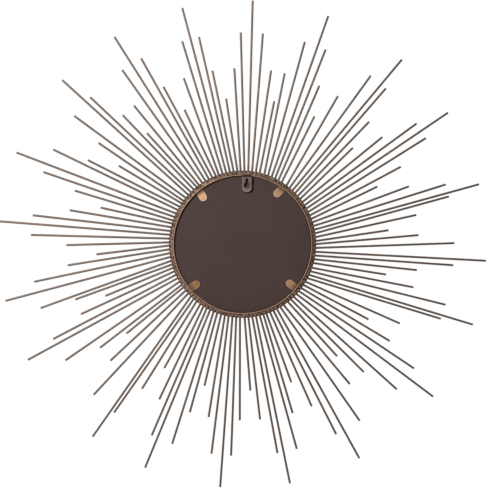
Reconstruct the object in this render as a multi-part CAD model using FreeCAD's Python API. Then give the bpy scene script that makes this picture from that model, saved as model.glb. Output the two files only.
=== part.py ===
# Round wall mirror in a steel hoop, with a sunburst of straight rods welded round the hoop.
#
# Frame: +Z up, +Y towards the wall, the mirror faces -Y.  The origin is the centre of the
# round opening in the keyhole hanger, on the face that lies against the wall.
# Angles are in degrees, clockwise from straight up, as someone behind the mirror sees them.
# Depths are Y values: everything lies in front of the wall plane, Y = 0.

import FreeCAD, Part
import math
import os

Vector = FreeCAD.Vector

# Driving dimensions, mm -------------------------------------------------------------------

# Sunburst.  A ray is one long rod, two high, two middle and one short rod, side by side.
RAYS = 20
LONG_TIP = 457.2            # centre of the mirror to the tip of a long rod
HIGH_TIP = 397.0
MIDDLE_TIP = 330.3
SHORT_TIP = 274.8
ROD_D = 4.0
ROD_TIP_CHAMFER = 0.4
STEPS = (-2, -1, 0, 1, 2, 3)    # the six rods of a ray, clockwise, with the long rod as 0
# The rods were set by eye.  For each ray, clockwise from the top: how far it sits clockwise of
# even spacing, in rod spacings, and how far each of its rods leans anticlockwise on its way
# out, in degrees.
HAND_SET = [
    (1.5, (2, 3, 3, 3, 2, 2)),
    (1.8, (6, 5, 4, 5, 6, 6)),
    (2.3, (7, 4, 3, 5, 5, 6)),
    (2.3, (4, 4, 5, 6, 5, 6)),
    (2.2, (3, 3, 4, 7, 7, 6)),
    (2.0, (5, 5, 3, 5, 6, 6)),
    (2.3, (8, 8, 8, 11, 7, 6)),
    (2.3, (6, 6, 6, 4, 4, 4)),
    (2.7, (6, 4, 1, 2, 2, 1)),
    (2.5, (0, 2, 1, 3, 2, 3)),
    (2.7, (2, 3, 4, 4, 5, 4)),
    (2.8, (5, 6, 4, 6, 7, 6)),
    (3.0, (7, 7, 10, 5, 4, 3)),
    (2.8, (4, 4, 1, 3, 3, 4)),
    (2.7, (4, 7, 5, 5, 5, 6)),
    (2.5, (3, 3, 3, 4, 4, 4)),
    (2.3, (2, 3, 4, 2, 4, 3)),
    (2.1, (2, 3, 0, 2, 2, 4)),
    (1.9, (3, 2, 2, 2, 4, 4)),
    (1.7, (1, 1, 2, 3, 5, 5)),
]

# Mirror pack, from the front to the back
GLASS_R = 127.5
GLASS_T = 3.0
GLASS_ARRIS = 0.6           # ground edge of the glass
SILVERING_T = 0.2
SILVERING_MARGIN = 0.5      # the coating stops short of the glass edge
PAD_T = 2.0
PAD_MARGIN = 2.0
BOARD_T = 3.0
BOARD_RECESS = 6.0          # back of the board to the rear edge of the hoop

# Hoop, front bezel and the flat ring that carries the rods
HOOP_T = 1.5
HOOP_EDGE_R = 0.5
BEZEL_T = 1.5
BEZEL_COVER = 4.5           # how far the bezel laps over the glass
BEZEL_EDGE_R = 0.6
RING_W = 7.9
RING_T = 2.0
ROD_SINK = 3.0              # rear of the rods to the rear edge of the hoop
ROD_END_GAP = 0.5           # inner end of a rod to the hoop, filled by the weld
WELD_W = 3.5
WELD_H = 1.5

# Bend-over tabs that hold the pack in: name, angle of the root, twist of the tab
TABS = [
    ("upper_left", 320.8, 8.0),
    ("upper_right", 35.3, 8.5),
    ("lower_left", 230.0, 8.0),
    ("lower_right", 129.8, 0.0),
]
TAB_W = 14.4
TAB_T = 0.8
TAB_REACH = 20.3            # bend line to the rounded tip
TAB_LEG = 7.0               # length of the leg down the inside of the hoop
TAB_CLEARANCE = 0.3         # flap to board, flap to leg and flap to hoop
PACK_CLEARANCE = 0.5        # edge of the glass and board to the legs

# Keyhole hanger
HANGER_W = 18.2
HANGER_T = 1.5
HANGER_EDGE_R = 0.4
HANGER_CORNER_R = 8.0
HANGER_OFFSET = 8.0         # keyhole to the upright centre line of the mirror
HANGER_LAP = 0.7            # how far the top of the plate laps on to the hoop's rear edge
HANGER_BELOW_KEYHOLE = 12.3
KEYHOLE_BELOW_RIM = 19.7    # centre of the round opening to the outside of the hoop
KEYHOLE_R = 5.4
KEYHOLE_SLOT_W = 5.0
KEYHOLE_SLOT_RISE = 10.3    # centre of the round opening to the centre of the slot's end
HANGER_WELD_W = 16.0
HANGER_WELD_H = 4.0
HANGER_WELD_BELOW_WALL = 0.3

# Worked-out places ------------------------------------------------------------------------

TIP_BY_PLACE = [LONG_TIP, HIGH_TIP, MIDDLE_TIP, SHORT_TIP]
ROD_PITCH = 360.0 / (RAYS * len(STEPS))

HOOP_IN_R = GLASS_R + PACK_CLEARANCE + TAB_T
HOOP_OUT_R = HOOP_IN_R + HOOP_T
RING_OUT_R = HOOP_OUT_R + RING_W
ROD_SEAT_R = (HOOP_OUT_R + RING_OUT_R) / 2

HOOP_REAR = -HANGER_T
BOARD_REAR = HOOP_REAR - BOARD_RECESS
PAD_REAR = BOARD_REAR - BOARD_T
SILVERING_REAR = PAD_REAR - PAD_T
GLASS_REAR = SILVERING_REAR - SILVERING_T
BEZEL_REAR = GLASS_REAR - GLASS_T
ROD_REAR = HOOP_REAR - ROD_SINK
ROD_Y = ROD_REAR - ROD_D / 2
RING_REAR = ROD_REAR - ROD_D

FLAP_Y = BOARD_REAR + TAB_CLEARANCE + TAB_T / 2
FLAP_HINGE_R = math.sqrt((HOOP_IN_R - TAB_CLEARANCE) ** 2 - (TAB_W / 2) ** 2) - TAB_T / 2
LEG_REAR = FLAP_Y - TAB_T / 2 - TAB_CLEARANCE

CENTRE_X = HANGER_OFFSET
CENTRE_Z = KEYHOLE_BELOW_RIM - HOOP_OUT_R
HANGER_TOP = CENTRE_Z + HOOP_IN_R + HANGER_LAP


# Helpers ----------------------------------------------------------------------------------

def outwards(angle):
    """Unit vector away from the centre of the mirror, at an angle."""
    a = math.radians(angle)
    return Vector(-math.sin(a), 0, math.cos(a))


def place(angle, radius, y):
    """Point at an angle and a radius from the centre of the mirror, at depth y."""
    return Vector(CENTRE_X, y, CENTRE_Z) + outwards(angle) * radius


def disc(radius, rear, thickness):
    """Round plate about the centre of the mirror, whose rear face is at depth rear."""
    front_centre = Vector(CENTRE_X, rear - thickness, CENTRE_Z)
    return Part.makeCylinder(radius, thickness, front_centre, Vector(0, 1, 0))


def flat_ring(inner_r, outer_r, rear, thickness):
    """Flat ring about the centre of the mirror."""
    return disc(outer_r, rear, thickness).cut(disc(inner_r, rear, thickness))


def circles_at(solid, y, radii=None):
    """Circular edges of a round solid that lie at depth y, of the given radii or of any."""
    found = []
    for edge in solid.Edges:
        round_edge = isinstance(edge.Curve, Part.Circle)
        if not round_edge or abs(edge.BoundBox.Center.y - y) > 1e-6 or edge.BoundBox.YLength > 1e-6:
            continue
        if radii is None or any(abs(edge.Curve.Radius - r) < 1e-6 for r in radii):
            found.append(edge)
    return found


# Hoop, bezel, ring and welds --------------------------------------------------------------

def hoop():
    """Deep band that the mirror pack sits in.  Its rear edge is rounded."""
    band = flat_ring(HOOP_IN_R, HOOP_OUT_R, HOOP_REAR, HOOP_REAR - BEZEL_REAR)
    return band.makeFillet(HOOP_EDGE_R, circles_at(band, HOOP_REAR))


def front_bezel():
    """Flat ring on the front of the hoop, which laps over the edge of the glass."""
    lip = flat_ring(GLASS_R - BEZEL_COVER, HOOP_OUT_R, BEZEL_REAR, BEZEL_T)
    return lip.makeFillet(BEZEL_EDGE_R, circles_at(lip, BEZEL_REAR - BEZEL_T))


def rod_ring():
    """Flat ring round the hoop, with the rods lying on its back."""
    return flat_ring(HOOP_OUT_R, RING_OUT_R, RING_REAR, RING_T)


def rod_weld():
    """Seam that fills the corner between the rods and the outside of the hoop."""
    return flat_ring(HOOP_OUT_R, HOOP_OUT_R + WELD_W, ROD_REAR + WELD_H, WELD_H)


# Mirror pack ------------------------------------------------------------------------------

def mirror_glass():
    """Flat glass with a ground edge."""
    glass = disc(GLASS_R, GLASS_REAR, GLASS_T)
    return glass.makeChamfer(GLASS_ARRIS, circles_at(glass, GLASS_REAR - GLASS_T))


def silvering():
    return disc(GLASS_R - SILVERING_MARGIN, SILVERING_REAR, SILVERING_T)


def foam_pad():
    return disc(GLASS_R - PAD_MARGIN, PAD_REAR, PAD_T)


def backing_board():
    return disc(GLASS_R, BOARD_REAR, BOARD_T)


# Tabs -------------------------------------------------------------------------------------

def tab_leg(angle):
    """Strip welded down the inside of the hoop, curved to fit it."""
    strip = flat_ring(HOOP_IN_R - TAB_T, HOOP_IN_R, LEG_REAR, TAB_LEG)
    block = Part.makeBox(TAB_W, TAB_LEG, 2 * TAB_W)
    block.translate(Vector(-TAB_W / 2, LEG_REAR - TAB_LEG, HOOP_IN_R - TAB_W))
    block.rotate(Vector(0, 0, 0), Vector(0, 1, 0), -angle)
    block.translate(Vector(CENTRE_X, 0, CENTRE_Z))
    return strip.common(block)


def tab_flap(angle, twist):
    """Tongue with a round tip, bent over the board.  It turns about its rounded root."""
    hinge = place(angle, FLAP_HINGE_R, FLAP_Y)
    along = outwards(angle + 180 + twist)
    across = outwards(angle + 90 + twist)
    root_side = outwards(angle + 90) * (TAB_W / 2)
    tip_centre = hinge + along * (TAB_REACH - TAB_W / 2)
    tip_left = tip_centre + across * (TAB_W / 2)
    tip_right = tip_centre - across * (TAB_W / 2)
    outline = Part.Wire([
        Part.LineSegment(hinge + root_side, tip_left).toShape(),
        Part.Arc(tip_left, hinge + along * TAB_REACH, tip_right).toShape(),
        Part.LineSegment(tip_right, hinge - root_side).toShape(),
        Part.LineSegment(hinge - root_side, hinge + root_side).toShape(),
    ])
    outline.translate(Vector(0, -TAB_T / 2, 0))
    tongue = Part.Face(outline).extrude(Vector(0, TAB_T, 0))
    root = Part.makeCylinder(TAB_T / 2, TAB_W, hinge - root_side, root_side)
    return tongue.fuse(root).removeSplitter()


# Hanger -----------------------------------------------------------------------------------

def keyhole_cutter():
    """Round opening with a narrower slot above it, right through the plate."""
    depth = Vector(0, HANGER_T, 0)
    front = Vector(0, -HANGER_T, 0)
    opening = Part.makeCylinder(KEYHOLE_R, HANGER_T, front, depth)
    slot_end = Part.makeCylinder(
        KEYHOLE_SLOT_W / 2, HANGER_T, front + Vector(0, 0, KEYHOLE_SLOT_RISE), depth
    )
    slot = Part.makeBox(
        KEYHOLE_SLOT_W, HANGER_T, KEYHOLE_SLOT_RISE, front + Vector(-KEYHOLE_SLOT_W / 2, 0, 0)
    )
    return opening.fuse([slot_end, slot])


def keyhole_hanger():
    """Plate welded over the rear edge of the hoop, with a keyhole whose slot points up."""
    bottom = -HANGER_BELOW_KEYHOLE
    height = HANGER_TOP - bottom
    plate = Part.makeBox(
        HANGER_W, HANGER_T, height, Vector(-HANGER_W / 2, -HANGER_T, bottom)
    )
    lower_corners = [
        edge for edge in plate.Edges
        if edge.BoundBox.YLength > HANGER_T / 2 and edge.BoundBox.ZMax < bottom + 1e-6
    ]
    plate = plate.makeFillet(HANGER_CORNER_R, lower_corners)
    rear_rim = [
        edge for edge in plate.Edges
        if edge.BoundBox.YMin > -HANGER_T / 2 and edge.BoundBox.ZMin < bottom + height / 2
    ]
    plate = plate.makeFillet(HANGER_EDGE_R, rear_rim)
    return plate.cut(keyhole_cutter())


def hanger_weld():
    """Bead along the top of the plate, over the rear edge of the hoop and the seam outside it."""
    low = ROD_REAR + WELD_H
    high = -HANGER_WELD_BELOW_WALL
    bead = Part.makeBox(
        HANGER_WELD_W, high - low, HANGER_WELD_H, Vector(-HANGER_WELD_W / 2, low, HANGER_TOP)
    )
    outer_edge = [
        edge for edge in bead.Edges
        if edge.BoundBox.XLength > HANGER_WELD_W / 2 and edge.BoundBox.YMin > (low + high) / 2
        and edge.BoundBox.ZMin > HANGER_TOP + HANGER_WELD_H / 2
    ]
    rounded = bead.makeFillet((high - low) / 2, outer_edge)
    return rounded.cut(disc(HOOP_OUT_R, HOOP_REAR, HOOP_REAR - low))


# Rods -------------------------------------------------------------------------------------

def rod(ray, step):
    """One rod of a ray."""
    shift, leans = HAND_SET[ray % len(HAND_SET)]
    seat_angle = (ray * len(STEPS) + step + shift) * ROD_PITCH
    lean = leans[STEPS.index(step)]
    seat = outwards(seat_angle) * ROD_SEAT_R
    along = outwards(seat_angle - lean)

    def reach(radius):
        """How far past its seat the rod meets a circle about the centre of the mirror."""
        inline = seat.dot(along)
        return math.sqrt(inline ** 2 - ROD_SEAT_R ** 2 + radius ** 2) - inline

    start = reach(HOOP_OUT_R + ROD_END_GAP)
    end = reach(TIP_BY_PLACE[abs(step)])
    foot = Vector(CENTRE_X, ROD_Y, CENTRE_Z) + seat + along * start
    body = Part.makeCylinder(ROD_D / 2, end - start, foot, along)
    tip = foot + along * (end - start)
    tip_edge = [
        edge for edge in body.Edges
        if isinstance(edge.Curve, Part.Circle) and edge.Curve.Center.distanceToPoint(tip) < 1e-6
    ]
    return body.makeChamfer(ROD_TIP_CHAMFER, tip_edge)


# Write every node -------------------------------------------------------------------------

def write(name, shape):
    shape.exportStep("parts/" + name + ".step")


def main():
    os.makedirs("parts", exist_ok=True)
    single = [
        hoop, front_bezel, rod_ring, rod_weld, mirror_glass, silvering, foam_pad,
        backing_board, keyhole_hanger, hanger_weld,
    ]
    for make in single:
        write(make.__name__, make())
    for name, angle, twist in TABS:
        write("tab_leg_" + name, tab_leg(angle))
        write("tab_flap_" + name, tab_flap(angle, twist))
    for ray in range(RAYS):
        label = "%02d" % (ray + 1)
        write("long_rod_" + label, rod(ray, 0))
        beside = [rod(ray, step) for step in STEPS if step != 0]
        write("side_rods_" + label, Part.makeCompound(beside))


main()
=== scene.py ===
"""Looks of the sunburst wall mirror: lacquered rods, lumpy welds, bent brass tabs, board and glass.

Metres, in the part's own frame: +Z up, +Y towards the wall, the mirror faces -Y.
"""

import math

import bmesh
import bpy
from mathutils import Matrix, Vector, noise


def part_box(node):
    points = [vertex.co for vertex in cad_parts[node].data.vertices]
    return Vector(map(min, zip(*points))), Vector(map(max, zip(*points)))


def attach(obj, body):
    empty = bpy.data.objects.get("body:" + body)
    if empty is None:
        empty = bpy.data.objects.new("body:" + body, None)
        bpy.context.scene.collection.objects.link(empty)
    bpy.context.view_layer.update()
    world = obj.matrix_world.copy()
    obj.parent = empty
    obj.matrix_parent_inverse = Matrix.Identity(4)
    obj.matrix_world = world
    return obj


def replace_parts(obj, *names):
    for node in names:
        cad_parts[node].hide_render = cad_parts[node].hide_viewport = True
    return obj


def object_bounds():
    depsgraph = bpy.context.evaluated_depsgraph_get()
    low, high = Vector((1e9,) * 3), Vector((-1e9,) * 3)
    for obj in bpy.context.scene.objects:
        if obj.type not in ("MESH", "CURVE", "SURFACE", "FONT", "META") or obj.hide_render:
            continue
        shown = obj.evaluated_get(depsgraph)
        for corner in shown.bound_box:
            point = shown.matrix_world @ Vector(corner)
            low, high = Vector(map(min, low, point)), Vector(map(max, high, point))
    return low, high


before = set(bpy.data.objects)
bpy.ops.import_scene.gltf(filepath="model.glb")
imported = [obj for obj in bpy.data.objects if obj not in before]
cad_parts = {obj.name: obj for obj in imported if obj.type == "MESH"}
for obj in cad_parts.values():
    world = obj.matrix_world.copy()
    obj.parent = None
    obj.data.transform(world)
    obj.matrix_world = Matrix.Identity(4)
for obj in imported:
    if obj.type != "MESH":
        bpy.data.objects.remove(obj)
cad_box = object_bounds()

MM = 0.001

# Places on the mirror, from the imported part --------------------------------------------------

hoop_low, hoop_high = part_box("hoop")
CENTRE = (hoop_low + hoop_high) / 2
HOOP_R = (hoop_high.x - hoop_low.x) / 2
HOOP_REAR = hoop_high.y
RING_R = (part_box("rod_ring")[1].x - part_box("rod_ring")[0].x) / 2
RING_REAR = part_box("rod_ring")[1].y
ROD_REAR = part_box("long_rod_01")[1].y
HANGER_LOW, HANGER_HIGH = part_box("keyhole_hanger")
RODS = sorted(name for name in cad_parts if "long_rod" in name or "side_rods" in name)

TAB_LENGTH = 20.8 * MM      # middle of a tab's leg to the tip of its tongue
TAB_HALF_WIDTH = 7.2 * MM
HANGER_CORNER = 8 * MM      # round lower corners of the hanger plate

# Sizes that only the looks have ---------------------------------------------------------------

TAB_STRAIGHT = 6.5 * MM     # how far the tongue stays level before it rises
TAB_LIFT = 1.5 * MM         # how far its tip springs back from the board
# How far each tab is darkened towards the stain colour.
TAB_DARKENING = {"upper_left": 0.1, "upper_right": 0.05, "lower_left": 0.8, "lower_right": 0.12}
BEAD_OVERLAP = 3.2 * MM     # how far the weld beads come down over the top of the hanger plate
BEADS_IN_ROW = 6
BEAD_PITCH = 2.9            # mm from bead to bead
# Rows of beads on the hanger: height over the plate's top, bead radius and depth it sinks in, mm.
BEAD_ROWS = [(-1.5, 2.0, 0.3), (1.0, 1.9, 0.0), (3.2, 1.7, 0.9)]
BEAD_FLATNESS = 0.75
BEAD_SEED = 5               # for noise_vector, whose seed is otherwise the clock
WALL_GAP = 0.15 * MM        # the beads stay this far off the wall
WELD_STEPS = 1200           # cuts round the weld band
WELD_OUTSIDE = 6.8          # outer edge of the weld band past the hoop, mm
WELD_FADE = 1.2             # its relief fades out over this width at both edges, mm
HUMP_WIDTH = 1.9 * MM       # hump of weld over a rod
LUMP_SIZE = 2.6 * MM
PIT_SIZE = 1.2 * MM
FOOT_LENGTH = 14 * MM       # the rods are darker this far out from the ring
SILVER_GAP = 0.05 * MM      # keeps the silver and the glass out of one plane
FLOOR_RADIUS = 0.95
FLOOR_BELOW = 0.3           # floor under the lowest tip


# Camera --------------------------------------------------------------------------------------

VIEW_HEIGHT = 0.9159        # what the picture takes in at the rods, top to bottom
VIEW_RIGHT = 1.7 * MM       # the picture's middle is this far right of the mirror's centre
VIEW_UP = 0.4 * MM
LENS = 90


def add_camera():
    """Straight behind the mirror, level with its centre, through a long lens."""
    lens = bpy.data.cameras.new("camera")
    lens.lens = LENS
    camera = bpy.data.objects.new("camera", lens)
    distance = VIEW_HEIGHT * LENS / lens.sensor_width
    camera.location = CENTRE + Vector((-VIEW_RIGHT, distance, VIEW_UP))
    camera.rotation_euler = (math.pi / 2, 0, math.pi)
    bpy.context.scene.collection.objects.link(camera)
    bpy.context.scene.camera = camera


# Shader maths --------------------------------------------------------------------------------

class Value:
    """A socket's value.  Python's operators on it add Math nodes."""

    def __init__(self, tree, socket):
        self.tree = tree
        self.socket = socket

    def math(self, operation, first, second, clamp=False):
        return self.tree.node(
            "ShaderNodeMath", {0: first, 1: second}, operation=operation, use_clamp=clamp
        )

    def __add__(self, other):
        return self.math("ADD", self, other)

    def __radd__(self, other):
        return self.math("ADD", other, self)

    def __sub__(self, other):
        return self.math("SUBTRACT", self, other)

    def __rsub__(self, other):
        return self.math("SUBTRACT", other, self)

    def __mul__(self, other):
        return self.math("MULTIPLY", self, other)

    def __rmul__(self, other):
        return self.math("MULTIPLY", other, self)

    def __pow__(self, other):
        return self.math("POWER", self, other)

    def held(self):
        """The value, kept between 0 and 1."""
        return self.math("ADD", self, 0.0, clamp=True)

    def size(self):
        """The value without its sign."""
        return self.math("ABSOLUTE", self, 0.0)

    def at_least(self, low):
        return self.math("MAXIMUM", self, low)


class Tree:
    """The nodes of one material, or of the world."""

    def __init__(self, owner):
        owner.use_nodes = True
        self.nodes = owner.node_tree.nodes
        self.links = owner.node_tree.links
        self.nodes.clear()

    def node(self, kind, inputs=None, out=0, **settings):
        """Adds a node with its settings, then its sockets' values or links.  Returns one output."""
        made = self.nodes.new(kind)
        for name, setting in settings.items():
            setattr(made, name, setting)
        for name, value in (inputs or {}).items():
            if isinstance(value, Value):
                self.links.new(value.socket, made.inputs[name])
            else:
                made.inputs[name].default_value = value
        return Value(self, made.outputs[out]) if made.outputs else None

    def place(self):
        """Where a point is on the part, in metres."""
        return self.node("ShaderNodeTexCoord", out="Object")

    def split(self, vector):
        """X, Y and Z of a vector."""
        return [self.node("ShaderNodeSeparateXYZ", {0: vector}, out=i) for i in range(3)]

    def axes(self):
        """X, Y and Z of a point, measured from the centre of the mirror in X and Z."""
        centred = self.node(
            "ShaderNodeMapping", {"Vector": self.place(), "Location": (-CENTRE.x, 0, -CENTRE.z)}
        )
        return self.split(centred)

    def radius(self):
        """Distance of a point from the axis of the mirror."""
        x, _, z = self.axes()
        return (x * x + z * z) ** 0.5

    def speckle(self, size, detail=3.0, roughness=0.55, vector=None, distortion=0.0):
        """Noise between 0 and 1 whose spots are about this size in metres."""
        return self.node(
            "ShaderNodeTexNoise",
            {
                "Vector": vector or self.place(), "Scale": 0.6 / size, "Detail": detail,
                "Roughness": roughness, "Distortion": distortion,
            },
        )

    def step(self, value, low, high):
        """0 below low, 1 above high, smooth between."""
        return self.node(
            "ShaderNodeMapRange", {"Value": value, "From Min": low, "From Max": high},
            interpolation_type="SMOOTHSTEP",
        )

    def blend(self, factor, first, second):
        """Colour that goes from first to second as the factor goes from 0 to 1."""
        return self.node(
            "ShaderNodeMix", {0: factor, 6: first, 7: second}, out=2, data_type="RGBA"
        )

    def relief(self, height, depth, strength=1.0):
        """Normal of a surface whose height runs from 0 to 1 over this depth in metres."""
        return self.node(
            "ShaderNodeBump", {"Height": height, "Distance": depth, "Strength": strength}
        )

    def surface(self, **sockets):
        """Ends the tree in a Principled shader.  Sockets are named with _ for each space."""
        named = {name.replace("_", " "): value for name, value in sockets.items()}
        shader = self.node("ShaderNodeBsdfPrincipled", named)
        self.node("ShaderNodeOutputMaterial", {"Surface": shader})


def ink(red, green, blue):
    """Colour from screen values of 0 to 255, as the shader wants it."""
    def linear(value):
        share = value / 255
        return share / 12.92 if share <= 0.04045 else ((share + 0.055) / 1.055) ** 2.4
    return (linear(red), linear(green), linear(blue), 1.0)


def material(name):
    made = bpy.data.materials.new(name)
    return made, Tree(made)


# Colours -------------------------------------------------------------------------------------

ROD_DARK = ink(88, 71, 60)
ROD_PALE = ink(110, 93, 82)
ROD_RUBBED = ink(152, 124, 98)
ROD_SPECK = ink(66, 48, 38)
ROD_FOOT = ink(58, 40, 30)
HOOP_DARK = ink(124, 88, 64)
HOOP_PALE = ink(150, 114, 88)
HOOP_REAR_EDGE = ink(158, 132, 113)
HOOP_FRONT_EDGE = ink(160, 128, 98)
RING_SHADE = ink(60, 40, 29)
WELD_DARK = ink(92, 66, 49)
WELD_PALE = ink(166, 132, 109)
WELD_SHADE = ink(46, 25, 14)
HANGER_DARK = ink(80, 62, 54)
HANGER_PALE = ink(102, 82, 74)
HANGER_RIM_PALE = ink(160, 140, 114)
BRASS_DARK = ink(158, 118, 80)
BRASS_PALE = ink(178, 138, 102)
BRASS_STAIN = ink(118, 78, 40)
BRASS_RIM = ink(178, 147, 124)
BRASS_BEND_SHADE = ink(92, 62, 40)
BOARD_DARK = ink(48, 34, 32)
BOARD_PALE = ink(61, 46, 43)
BOARD_FIBRE = ink(72, 54, 46)
GLASS_DULL = ink(248, 252, 250)
GLASS_CLEAR = ink(251, 253, 252)
SILVER_FACE = ink(243, 244, 243)
SILVER_PAINT = ink(120, 122, 122)
FOAM_DARK = ink(206, 206, 200)
FOAM_PALE = ink(228, 228, 224)
FLOOR_DARK = ink(224, 223, 220)
FLOOR_PALE = ink(232, 231, 229)


# Finishes ------------------------------------------------------------------------------------

def rod_lacquer():
    """Dark antique bronze lacquer on drawn steel rod, a little rubbed, darker at the weld."""
    made, tree = material("rod_lacquer")
    cloudy = tree.speckle(30 * MM, detail=2.0)
    grain = tree.speckle(1.2 * MM, detail=4.0, roughness=0.65)
    paler = tree.step(tree.speckle(9 * MM, detail=4.0), 0.56, 0.72)
    foot = 1 - tree.step(tree.radius(), RING_R - 1 * MM, RING_R + FOOT_LENGTH)
    base = tree.blend(cloudy, ROD_DARK, ROD_PALE)
    worn = tree.blend(paler * 0.25, base, ROD_RUBBED)
    speckled = tree.blend(tree.step(grain, 0.55, 0.75) * 0.15, worn, ROD_SPECK)
    colour = tree.blend(foot * 0.6, speckled, ROD_FOOT)
    tree.surface(
        Base_Color=colour, Metallic=0.5, Roughness=0.4 + grain * 0.22,
        Normal=tree.relief(grain, 0.06 * MM, 0.25),
    )
    return made


def hoop_lacquer():
    """The same lacquer on hoop, bezel and ring, tan at the worn edges, with painted shade on the
    ring.
    """
    made, tree = material("hoop_lacquer")
    depth = tree.axes()[1]
    grain = tree.speckle(1.0 * MM, detail=4.0, roughness=0.65)
    patches = tree.speckle(14 * MM, detail=3.0)
    rear_edge = tree.step(depth, HOOP_REAR - 1.3 * MM, HOOP_REAR - 0.3 * MM)
    bezel_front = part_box("front_bezel")[0].y
    front_edge = 1 - tree.step(depth, bezel_front + 0.05 * MM, bezel_front + 0.5 * MM)
    # Painted shade: the ring, seen between the rods, is darkened to stand in for the shadow there.
    ring = tree.step(tree.radius(), HOOP_R + 1 * MM, HOOP_R + 3 * MM)
    base = tree.blend(patches, HOOP_DARK, HOOP_PALE)
    paler = (rear_edge * (0.55 + grain * 0.6)).held()
    edged = tree.blend(paler, base, HOOP_REAR_EDGE)
    sheen = tree.blend(front_edge * 0.25, edged, HOOP_FRONT_EDGE)
    colour = tree.blend(ring * 0.8, sheen, RING_SHADE)
    tree.surface(
        Base_Color=colour, Metallic=0.55, Roughness=0.36 + grain * 0.25,
        Normal=tree.relief(grain, 0.05 * MM, 0.5),
    )
    return made


def weld_metal():
    """Weld beads under bronze lacquer, tan, with painted highlight on the humps and painted shade
    in the hollows.
    """
    made, tree = material("weld_metal")
    painted_shade = tree.node("ShaderNodeAttribute", out="Fac", attribute_name="painted_shade")
    lumps = tree.speckle(2.6 * MM, detail=3.0, roughness=0.6, distortion=0.4)
    fine = tree.speckle(0.7 * MM, detail=3.0)
    # Painted shade read from the weld pieces, mixed with random lumps and speckle.
    dark = tree.step(painted_shade + (lumps - 0.5) * 0.9 + (fine - 0.5) * 0.4, 0.1, 0.65)
    tan = tree.blend(lumps, WELD_DARK, WELD_PALE)
    colour = tree.blend(dark, tan, WELD_SHADE)
    tree.surface(
        Base_Color=colour, Metallic=0.45, Roughness=0.38 + fine * 0.25,
        Normal=tree.relief(fine, 0.2 * MM, 0.7),
    )
    return made


def rim_of_plate(tree, across, beyond, half_width, corner, rim):
    """1 along the rim of a plate with round corners, 0 in its middle.

    across is measured from the plate's middle line, beyond from the corners' centres outwards.
    """
    side = (across.size() - (half_width - corner)).at_least(0.0)
    end = beyond.at_least(0.0)
    return tree.step((side * side + end * end) ** 0.5, corner - rim, corner - rim * 0.2)


def hanger_lacquer():
    """Thin stamped plate, lacquered, paler along its rim and most at the bottom."""
    made, tree = material("hanger_lacquer")
    x, _, z = tree.split(tree.place())
    grain = tree.speckle(0.9 * MM, detail=4.0, roughness=0.6)
    patches = tree.speckle(6 * MM, detail=3.0)
    half_width = (HANGER_HIGH.x - HANGER_LOW.x) / 2
    below = (HANGER_LOW.z + HANGER_CORNER) - z
    rim = rim_of_plate(tree, x, below, half_width, HANGER_CORNER, 2.6 * MM)
    bottom = 1 - tree.step(z, HANGER_LOW.z + 1 * MM, HANGER_LOW.z + 8 * MM)
    base = tree.blend(patches, HANGER_DARK, HANGER_PALE)
    # Paler along the rim, most at the bottom.
    paler = (rim * (0.08 + bottom * 0.7) * (0.6 + grain * 0.8)).held()
    colour = tree.blend(paler, base, HANGER_RIM_PALE)
    tree.surface(
        Base_Color=colour, Metallic=0.5, Roughness=0.38 + grain * 0.25,
        Normal=tree.relief(grain, 0.04 * MM, 0.5),
    )
    return made


def tab_line(name):
    """Middle of a tab's leg, and the direction from there to the tip of its tongue."""
    low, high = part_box("tab_flap_" + name)
    leg_low, leg_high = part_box("tab_leg_" + name)
    root = (leg_low + leg_high) / 2
    along = (low + high) / 2 - root
    along.y = 0
    return root, along.normalized()


def tab_brass(name, darkening):
    """Brassy strip, brushed along its length, tarnished in its middle and darkened by a set amount
    per tab, pinker at its rim with painted edge highlight, and with painted shade at its bend.
    """
    made, tree = material("tab_brass_" + name)
    root, along = tab_line(name)
    turn = math.atan2(along.x, along.z)
    turned = tree.node(
        "ShaderNodeMapping",
        {
            "Vector": tree.place(), "Rotation": (0, -turn, 0),
            "Location": Matrix.Rotation(-turn, 3, "Y") @ -root,
        },
    )
    across, _, distance = tree.split(turned)
    brushed = tree.node("ShaderNodeMapping", {"Vector": turned, "Scale": (1.0, 1.0, 0.08)})
    lines = tree.speckle(0.5 * MM, detail=4.0, roughness=0.7, vector=brushed)
    tarnish = tree.speckle(7 * MM, detail=3.0)
    tip = distance - (TAB_LENGTH - TAB_HALF_WIDTH)
    rim = rim_of_plate(tree, across, tip, TAB_HALF_WIDTH, TAB_HALF_WIDTH, 3.2 * MM)
    base = tree.blend(lines, BRASS_DARK, BRASS_PALE)
    stain = darkening + tree.step(tarnish, 0.42, 0.68) * 0.25
    stained = tree.blend(stain.held(), base, BRASS_STAIN)
    # Paler, pinker rim: partly its own tint, partly painted edge highlight.
    bright = rim * (0.3 + tarnish * 0.5) * (1 - darkening * 0.8)
    rimmed = tree.blend(bright, stained, BRASS_RIM)
    # Painted shade at the root of the tongue, standing in for the hoop's shadow and the real bend
    # turning away from the light.
    bend_shade = 1 - tree.step(distance, 1.5 * MM, 10 * MM)
    colour = tree.blend(bend_shade * 0.95, rimmed, BRASS_BEND_SHADE)
    tree.surface(
        Base_Color=colour, Metallic=0.35, Roughness=0.46 + lines * 0.2,
        Normal=tree.relief(lines, 0.03 * MM, 0.5),
    )
    return made


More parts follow.
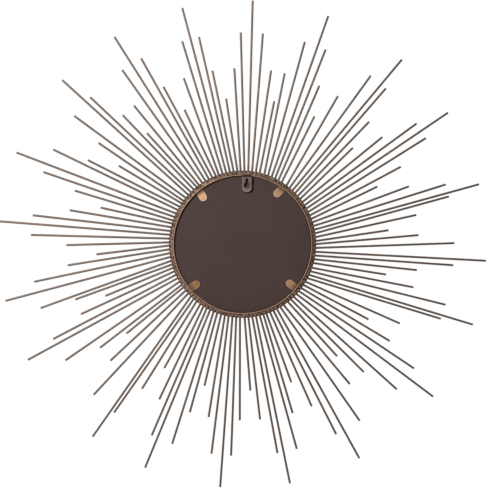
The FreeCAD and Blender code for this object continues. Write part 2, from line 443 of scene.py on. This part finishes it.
def hardboard():
    """Dark brown pressed board: a smooth face with faint fibres and clouds."""
    made, tree = material("hardboard")
    clouds = tree.speckle(60 * MM, detail=4.0, roughness=0.5)
    fibres = tree.node(
        "ShaderNodeMapping", {"Vector": tree.place(), "Scale": (1.0, 1.0, 0.25)}
    )
    fibre = tree.speckle(0.7 * MM, detail=5.0, roughness=0.7, vector=fibres)
    base = tree.blend(clouds, BOARD_DARK, BOARD_PALE)
    colour = tree.blend(fibre * 0.3, base, BOARD_FIBRE)
    tree.surface(
        Base_Color=colour, Roughness=0.66 + fibre * 0.2, Specular_IOR_Level=0.3,
        Normal=tree.relief(fibre, 0.05 * MM, 0.5),
    )
    return made


def clear_glass():
    """Float glass, faintly green in its edge."""
    made, tree = material("clear_glass")
    waves = tree.speckle(120 * MM, detail=1.0)
    tree.surface(
        Base_Color=tree.blend(waves, GLASS_DULL, GLASS_CLEAR), Roughness=0.0,
        IOR=1.5, Transmission_Weight=1.0,
    )
    return made


def silver():
    """Silver coating, bright from the front, under grey backing paint behind."""
    made, tree = material("silver")
    paint = tree.speckle(2 * MM, detail=3.0)
    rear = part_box("silvering")[1].y
    back = tree.step(tree.axes()[1], rear - 0.06 * MM, rear)
    tree.surface(
        Base_Color=tree.blend(back, SILVER_FACE, SILVER_PAINT),
        Metallic=1 - back, Roughness=0.01 + back * (0.5 + paint * 0.2),
    )
    return made


def foam():
    """Pale closed-cell foam sheet."""
    made, tree = material("foam")
    cells = tree.speckle(0.8 * MM, detail=2.0)
    tree.surface(
        Base_Color=tree.blend(cells, FOAM_DARK, FOAM_PALE), Roughness=0.9,
        Normal=tree.relief(cells, 0.2 * MM),
    )
    return made


def floor_paint():
    """Plain pale floor with a faint unevenness."""
    made, tree = material("floor_paint")
    clouds = tree.speckle(0.5, detail=2.0)
    tree.surface(
        Base_Color=tree.blend(clouds, FLOOR_DARK, FLOOR_PALE), Roughness=0.8,
    )
    return made


# Pieces --------------------------------------------------------------------------------------

def finished(name, mesh_edit, finish, body, smooth=True):
    """Turns an edited bmesh into a piece with a finish, riding a body."""
    bmesh.ops.recalc_face_normals(mesh_edit, faces=mesh_edit.faces)
    mesh = bpy.data.meshes.new(name)
    mesh_edit.to_mesh(mesh)
    mesh_edit.free()
    for face in mesh.polygons:
        face.use_smooth = smooth
    piece = bpy.data.objects.new(name, mesh)
    bpy.context.scene.collection.objects.link(piece)
    mesh.materials.append(finish)
    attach(piece, body)
    return piece


def rod_angles():
    """Angle of every rod where it meets the hoop, from the vertices of the rods' inner ends."""
    found = []
    for name in RODS:
        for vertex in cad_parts[name].data.vertices:
            flat = Vector((vertex.co.x - CENTRE.x, vertex.co.z - CENTRE.z))
            if flat.length < HOOP_R + 2 * MM:
                found.append(math.atan2(flat.x, flat.y))
    found.sort()
    apart = math.radians(1)         # vertices of one rod are closer than this, and rods are not
    groups = [[found[0]]]
    for angle in found[1:]:
        if angle - groups[-1][-1] > apart:
            groups.append([])
        groups[-1].append(angle)
    if found[0] + 2 * math.pi - found[-1] < apart:
        groups[0] += [angle - 2 * math.pi for angle in groups.pop()]
    return [sum(group) / len(group) for group in groups]


def weld_band(finish):
    """Ring of weld in the corner between hoop, ring and rods, humped over every rod."""
    underside = RING_REAR - 0.2 * MM
    # Section of the weld: distance outside the hoop in mm, and depth in metres.
    section = [
        (-0.3, HOOP_REAR - 0.8 * MM),
        (0.2, HOOP_REAR - 0.9 * MM),
        (1.0, HOOP_REAR - 1.6 * MM),
        (2.0, HOOP_REAR - 2.5 * MM),
        (3.1, ROD_REAR - 0.2 * MM),
        (4.4, ROD_REAR - 0.4 * MM),
        (5.6, ROD_REAR - 0.8 * MM),
        (WELD_OUTSIDE - 0.2, ROD_REAR - 2.8 * MM),
        (WELD_OUTSIDE, underside),
        (-0.3, underside),
    ]
    bm = bmesh.new()
    corners = [
        bm.verts.new((CENTRE.x, depth, CENTRE.z + HOOP_R + out * MM)) for out, depth in section
    ]
    edges = [bm.edges.new(pair) for pair in zip(corners, corners[1:] + corners[:1])]
    bmesh.ops.subdivide_edges(bm, edges=edges[1:-2], cuts=1)
    bmesh.ops.spin(
        bm, geom=bm.verts[:] + bm.edges[:], cent=CENTRE, axis=(0, 1, 0), angle=2 * math.pi,
        steps=WELD_STEPS, use_merge=True,
    )
    bmesh.ops.remove_doubles(bm, verts=bm.verts, dist=0.01 * MM)
    painted_shade = bm.verts.layers.float.new("painted_shade")
    angles = rod_angles()
    for vertex in bm.verts:
        flat = Vector((vertex.co.x - CENTRE.x, 0, vertex.co.z - CENTRE.z))
        out = (flat.length - HOOP_R) / MM
        free = min(max(out, 0) / WELD_FADE, max(WELD_OUTSIDE - out, 0) / WELD_FADE, 1)
        here = math.atan2(flat.x, flat.z)
        nearest = min(abs((here - a + math.pi) % (2 * math.pi) - math.pi) for a in angles)
        hump = math.exp(-(nearest * flat.length / HUMP_WIDTH) ** 2)
        lump = noise.noise(vertex.co / LUMP_SIZE) + 0.5 * noise.noise(vertex.co / PIT_SIZE)
        outer = min(max((out - 2.0) / 3.0, 0), 1)
        between = outer * (1 - hump)
        crevice = math.exp(-((out - 0.9) / 0.7) ** 2)
        # Painted shade and highlight: darker between the rods towards the outer edge and in the
        # crevice by the hoop, lighter on the high lumps.
        vertex[painted_shade] = 0.2 + 0.22 * between + 0.15 * crevice - 1.4 * lump * free
        if vertex.co.y < underside + 0.1 * MM:
            continue
        over_rod = 1.8 * hump * (0.4 + 0.6 * outer)
        rise = free * (over_rod - 0.4 - 0.4 * between + 1.6 * lump) * MM
        vertex.co += (flat.normalized() * 0.6 + Vector((0, 0.7, 0))) * rise
    return finished("weld_band", bm, finish, "frame")


def hanger_beads(finish):
    """Weld beads that hold the top of the hanger plate to the hoop and the weld band."""
    noise.seed_set(BEAD_SEED)
    bm = bmesh.new()
    squash = Matrix.Diagonal((1.0, BEAD_FLATNESS, 0.8, 1.0))
    for row, (height, size, sunk) in enumerate(BEAD_ROWS):
        depth = -WALL_GAP - size * BEAD_FLATNESS * MM - sunk * MM
        for i in range(BEADS_IN_ROW):
            across = (i - (BEADS_IN_ROW - 1) / 2 + 0.25 * (row % 2)) * BEAD_PITCH * MM
            lift = height * MM + 0.5 * MM * noise.noise(Vector((i * 3.1, row * 7.7, 0.5)))
            bmesh.ops.create_icosphere(
                bm, subdivisions=3, radius=size * MM,
                matrix=Matrix.Translation((across, depth, HANGER_HIGH.z + lift)) @ squash,
            )
    painted_shade = bm.verts.layers.float.new("painted_shade")
    ripple = 1.6 * MM
    shaded = 2.5 * MM       # the beads are dark at the plate's top and pale this far above it
    for vertex in bm.verts:
        vertex.co += noise.noise_vector(vertex.co / ripple) * 0.35 * MM
        vertex.co.y = min(vertex.co.y, -WALL_GAP)
        above = (vertex.co.z - HANGER_HIGH.z) / shaded
        # Painted shade on the beads, darkest at the plate's top.
        vertex[painted_shade] = min(max(0.7 - above, 0.2), 1.0)
    return finished("hanger_beads", bm, finish, "frame")


def merged_copy(node):
    """Copy of a CAD node's mesh for editing, with its corners joined and its flat faces whole."""
    bm = bmesh.new()
    bm.from_mesh(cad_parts[node].data)
    bmesh.ops.remove_doubles(bm, verts=bm.verts, dist=0.001 * MM)
    bmesh.ops.dissolve_limit(
        bm, angle_limit=math.radians(1), verts=bm.verts, edges=bm.edges,
        use_dissolve_boundaries=False,
    )
    return bm


def silver_coat(finish):
    """The silver coating, a hair behind the glass, so that no two faces share a plane."""
    bm = merged_copy("silvering")
    low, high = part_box("silvering")
    for vertex in bm.verts:
        if vertex.co.y < (low.y + high.y) / 2:
            vertex.co.y += SILVER_GAP
    return finished("silver_coat", bm, finish, "frame", smooth=False)


def softened(bm, name, finish, body, edge):
    """Turns an edited copy of a CAD node into a piece, with its sharp edges rounded."""
    folds = [fold for fold in bm.edges if len(fold.link_faces) == 2]
    sharp = [fold for fold in folds if fold.calc_face_angle() > math.radians(40)]
    bmesh.ops.bevel(
        bm, geom=sharp, offset=edge, offset_type="OFFSET", affect="EDGES", segments=2, profile=0.5,
        clamp_overlap=True, material=-1,
    )
    piece = finished(name, bm, finish, body)
    # Broad faces stay flat, and the rounded edges between them are smooth.
    for face in piece.data.polygons:
        face.use_smooth = face.area < (10 * edge) ** 2
    return piece


def cut(bm, point, normal, **options):
    """Cuts a whole mesh along a plane."""
    everything = bm.verts[:] + bm.edges[:] + bm.faces[:]
    bmesh.ops.bisect_plane(bm, geom=everything, plane_co=point, plane_no=normal, **options)


def hanger_plate(finish):
    """The hanger, as far up as the weld beads that come down over its top."""
    bm = merged_copy("keyhole_hanger")
    cut(bm, (0, 0, HANGER_HIGH.z - BEAD_OVERLAP), (0, 0, 1), clear_outer=True)
    bmesh.ops.holes_fill(bm, edges=[edge for edge in bm.edges if edge.is_boundary], sides=0)
    return softened(bm, "hanger_plate", finish, "frame", 0.3 * MM)


def sprung_flap(name, finish):
    """A tab's tongue, whose tip is a little off the board, as bent metal springs back."""
    bm = merged_copy("tab_flap_" + name)
    root, along = tab_line(name)
    cut(bm, root + along * TAB_STRAIGHT, along)
    piece = softened(bm, "flap_" + name, finish, "tab_" + name, 0.2 * MM)
    for vertex in piece.data.vertices:
        past = (vertex.co - root).dot(along) - TAB_STRAIGHT
        vertex.co.y += TAB_LIFT * max(past, 0) / (TAB_LENGTH - TAB_STRAIGHT)
    return piece


# Put it together -----------------------------------------------------------------------------

def dress(finish, *names):
    """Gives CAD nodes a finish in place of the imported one."""
    for name in names:
        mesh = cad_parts[name].data
        mesh.materials.clear()
        mesh.materials.append(finish)


def dress_frame():
    dress(rod_lacquer(), *RODS)
    dress(hoop_lacquer(), "hoop", "front_bezel", "rod_ring")
    dress(hardboard(), "backing_board")
    dress(clear_glass(), "mirror_glass")
    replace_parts(silver_coat(silver()), "silvering")
    dress(foam(), "foam_pad")
    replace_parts(hanger_plate(hanger_lacquer()), "keyhole_hanger")
    for name, darkening in TAB_DARKENING.items():
        brass = tab_brass(name, darkening)
        dress(brass, "tab_leg_" + name)
        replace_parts(sprung_flap(name, brass), "tab_flap_" + name)
    weld = weld_metal()
    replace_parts(weld_band(weld), "rod_weld")
    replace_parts(hanger_beads(weld), "hanger_weld")


def area_light(name, offset, size, power):
    """Round soft white light at an offset from the mirror, aimed at its centre."""
    data = bpy.data.lights.new(name, "AREA")
    data.shape = "DISK"
    data.size = size
    data.energy = power
    lamp = bpy.data.objects.new(name, data)
    lamp.location = CENTRE + Vector(offset)
    lamp.rotation_mode = "QUATERNION"
    lamp.rotation_quaternion = (-Vector(offset)).to_track_quat("-Z", "Y")
    bpy.context.scene.collection.objects.link(lamp)


def add_studio():
    """White surroundings, a soft key light high to one side behind, a fill in front, a floor."""
    world = bpy.data.worlds.new("studio")
    bpy.context.scene.world = world
    tree = Tree(world)
    seen = tree.node("ShaderNodeLightPath", out="Is Camera Ray")
    glow = tree.node("ShaderNodeBackground", {"Color": (1, 1, 1, 1), "Strength": 0.22})
    white = tree.node("ShaderNodeBackground", {"Color": (1, 1, 1, 1), "Strength": 1.0})
    both = tree.node("ShaderNodeMixShader", {0: seen, 1: glow, 2: white})
    tree.node("ShaderNodeOutputWorld", {"Surface": both})
    area_light("key", (0.77, 1.45, 0.54), 0.4, 35)
    area_light("front", (-1.2, -2.4, 1.4), 1.6, 40)

    bm = bmesh.new()
    bmesh.ops.create_circle(bm, cap_ends=True, segments=96, radius=FLOOR_RADIUS)
    bmesh.ops.translate(bm, verts=bm.verts, vec=(CENTRE.x, 0, cad_box[0].z - FLOOR_BELOW))
    mesh = bpy.data.meshes.new("floor")
    bm.to_mesh(mesh)
    bm.free()
    mesh.materials.append(floor_paint())
    floor = bpy.data.objects.new("floor", mesh)
    bpy.context.scene.collection.objects.link(floor)
    bpy.context.scene.view_settings.view_transform = "Standard"


add_camera()
dress_frame()
add_studio()
